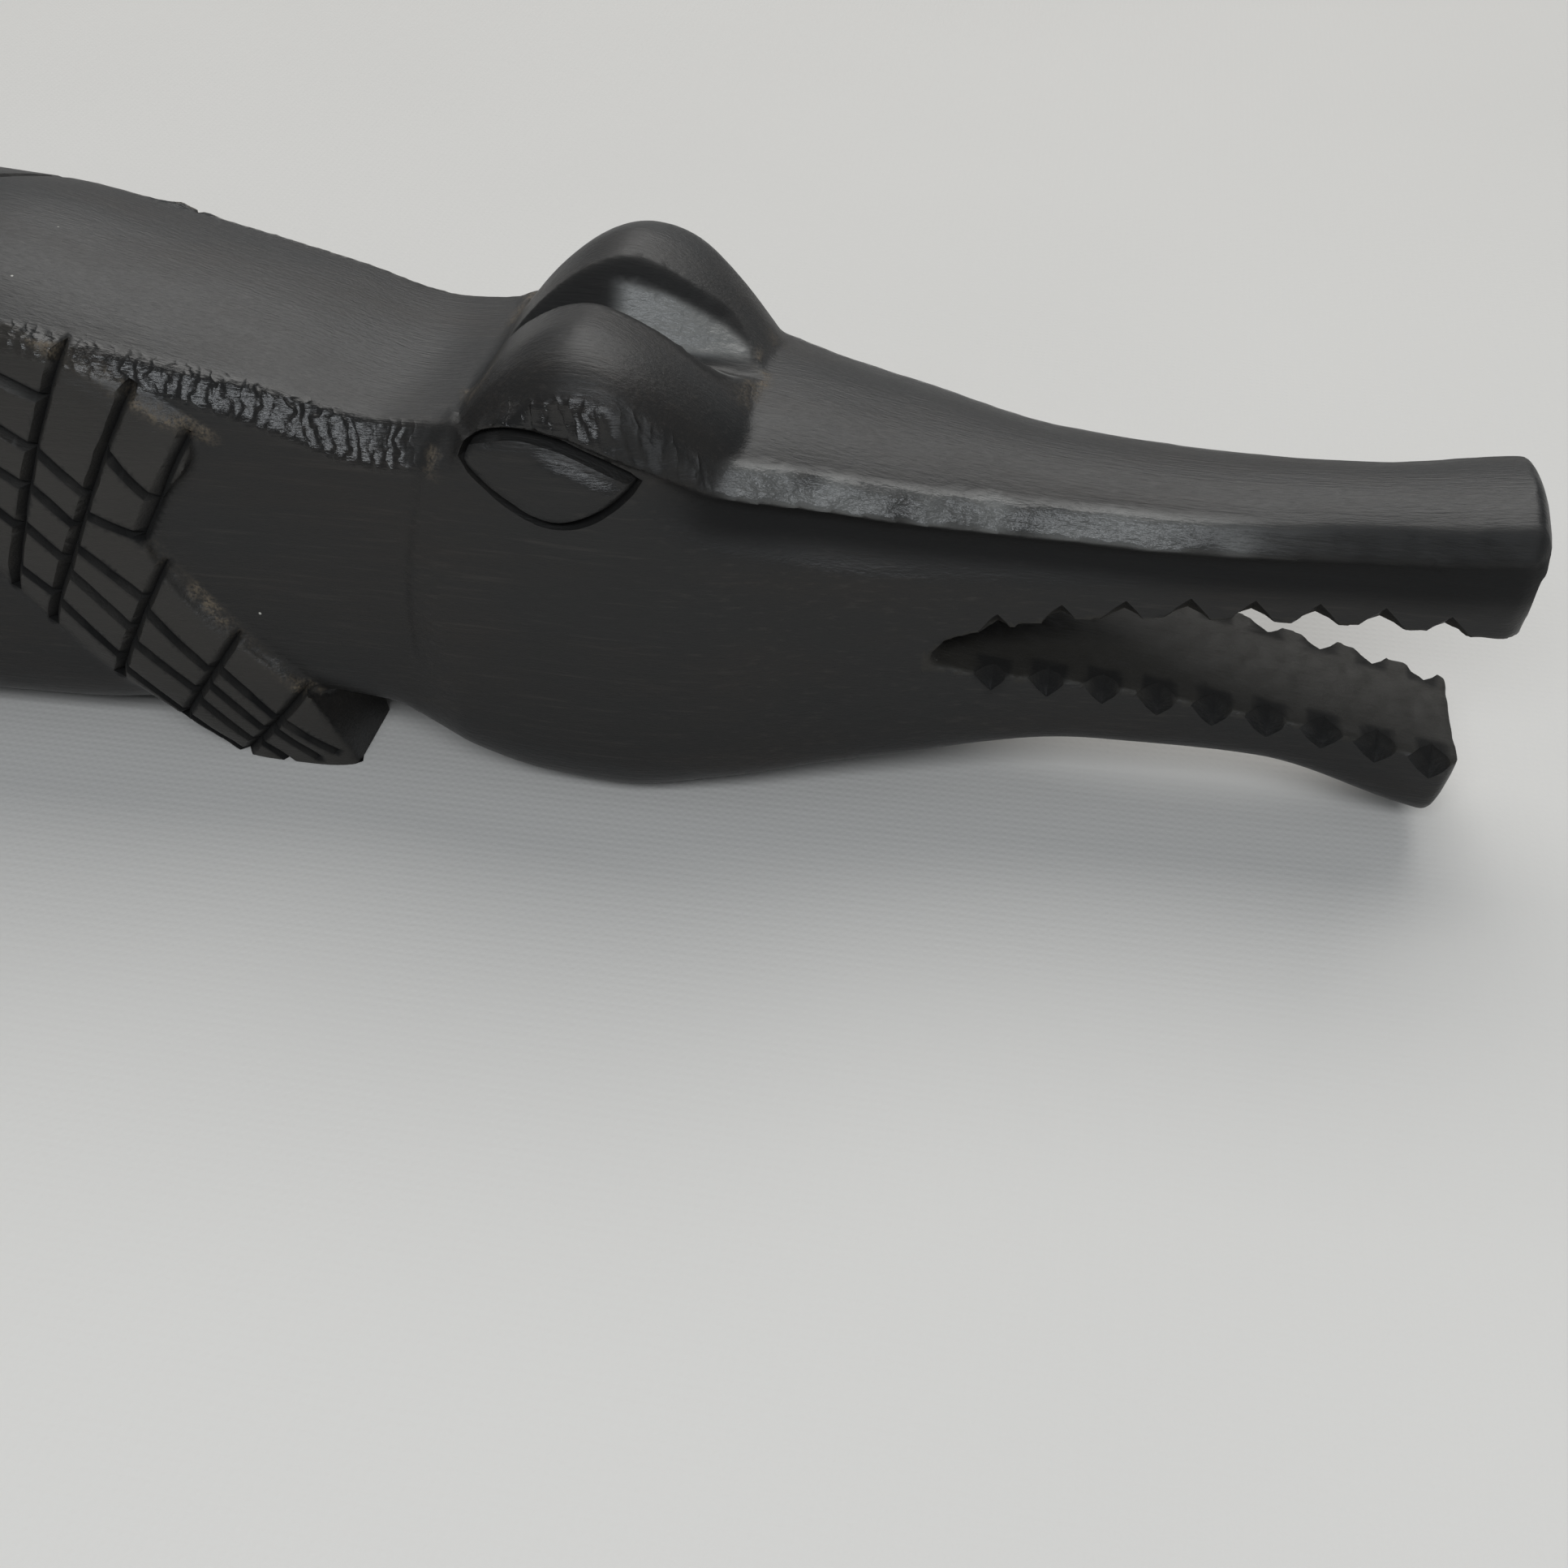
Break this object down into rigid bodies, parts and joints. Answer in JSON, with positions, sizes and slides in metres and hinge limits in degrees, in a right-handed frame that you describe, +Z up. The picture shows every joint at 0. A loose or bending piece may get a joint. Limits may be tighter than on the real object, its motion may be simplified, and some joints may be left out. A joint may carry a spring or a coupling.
{
  "type": "crocodile carving",
  "caption": "Long-snouted crocodile carved from one piece of black hardwood, with open toothed jaws, domed brows, scale grooves on the legs and a notched tail.",
  "frame": {"origin": "on the floor under the middle of the carving's bounding box", "axes": "+X from the tail to the snout, +Y to the animal's left, +Z up; the mid-plane of the animal is Y = 0"},
  "size_m": [0.34, 0.0328, 0.0464],
  "materials": {
    "black_wood": "satin, near-black ebony, glossier where the chisel left facets"
  },
  "bodies": {
    "root": {"crocodile_carving": "black_wood"}
  },
  "joints": []
}
